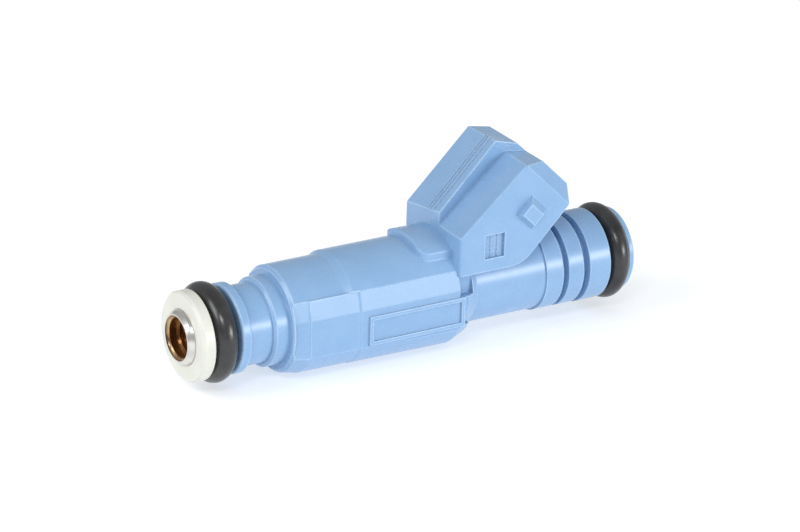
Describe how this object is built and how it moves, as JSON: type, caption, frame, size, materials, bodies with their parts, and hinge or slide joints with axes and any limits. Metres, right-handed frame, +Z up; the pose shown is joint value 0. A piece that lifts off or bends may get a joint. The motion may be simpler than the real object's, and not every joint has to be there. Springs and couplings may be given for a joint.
{
  "type": "fuel injector",
  "caption": "Top-feed fuel injector: moulded body with a slanted two-blade socket, a seal at each end, and a spring-closed lifting valve inside.",
  "frame": {"origin": "on the valve axis at the nozzle tip, where the spray leaves", "axes": "+X along the axis from the nozzle to the fuel inlet, +Z up on the socket's side, +Y across"},
  "size_m": [0.072, 0.0172, 0.0294],
  "materials": {
    "body_plastic": "satin moulded nylon",
    "cap_plastic": "satin",
    "seal_rubber": "satin",
    "valve_steel": "turned",
    "bronze": "turned",
    "seat_steel": "ground",
    "magnet_steel": "turned",
    "spring_steel": "drawn",
    "bobbin_plastic": "moulded",
    "copper": "enamelled",
    "tin_plate": "tin plated",
    "filter_plastic": "moulded",
    "filter_mesh": "woven",
    "brass": "pressed"
  },
  "bodies": {
    "housing": {"overmould_body": "body_plastic", "nozzle_cap": "cap_plastic", "lower_o_ring": "seal_rubber", "upper_o_ring": "seal_rubber", "nozzle_body": "valve_steel", "disc_retainer": "bronze", "orifice_disc": "bronze", "valve_seat": "seat_steel", "return_spring": "spring_steel", "adjusting_sleeve": "spring_steel", "nonmagnetic_ring": "valve_steel", "inlet_core": "magnet_steel", "magnet_housing": "magnet_steel", "front_pole_washer": "magnet_steel", "rear_pole_washer": "magnet_steel", "coil_bobbin": "bobbin_plastic", "coil_winding": "copper", "terminal_left": "tin_plate", "terminal_right": "tin_plate", "lead_wire_left": "copper", "lead_wire_right": "copper", "filter_cage": "filter_plastic", "filter_screen": "filter_mesh", "filter_collar": "brass"},
    "valve_needle": {"armature": "magnet_steel", "needle_tube": "valve_steel", "valve_ball": "seat_steel"}
  },
  "joints": [
    {"name": "needle_lift", "type": "slide", "parent": "housing", "child": "valve_needle", "axis": [1, 0, 0], "range_m": [0, 0.0001], "stiffness_N_per_m": 500, "springref_m": -0.004}
  ]
}
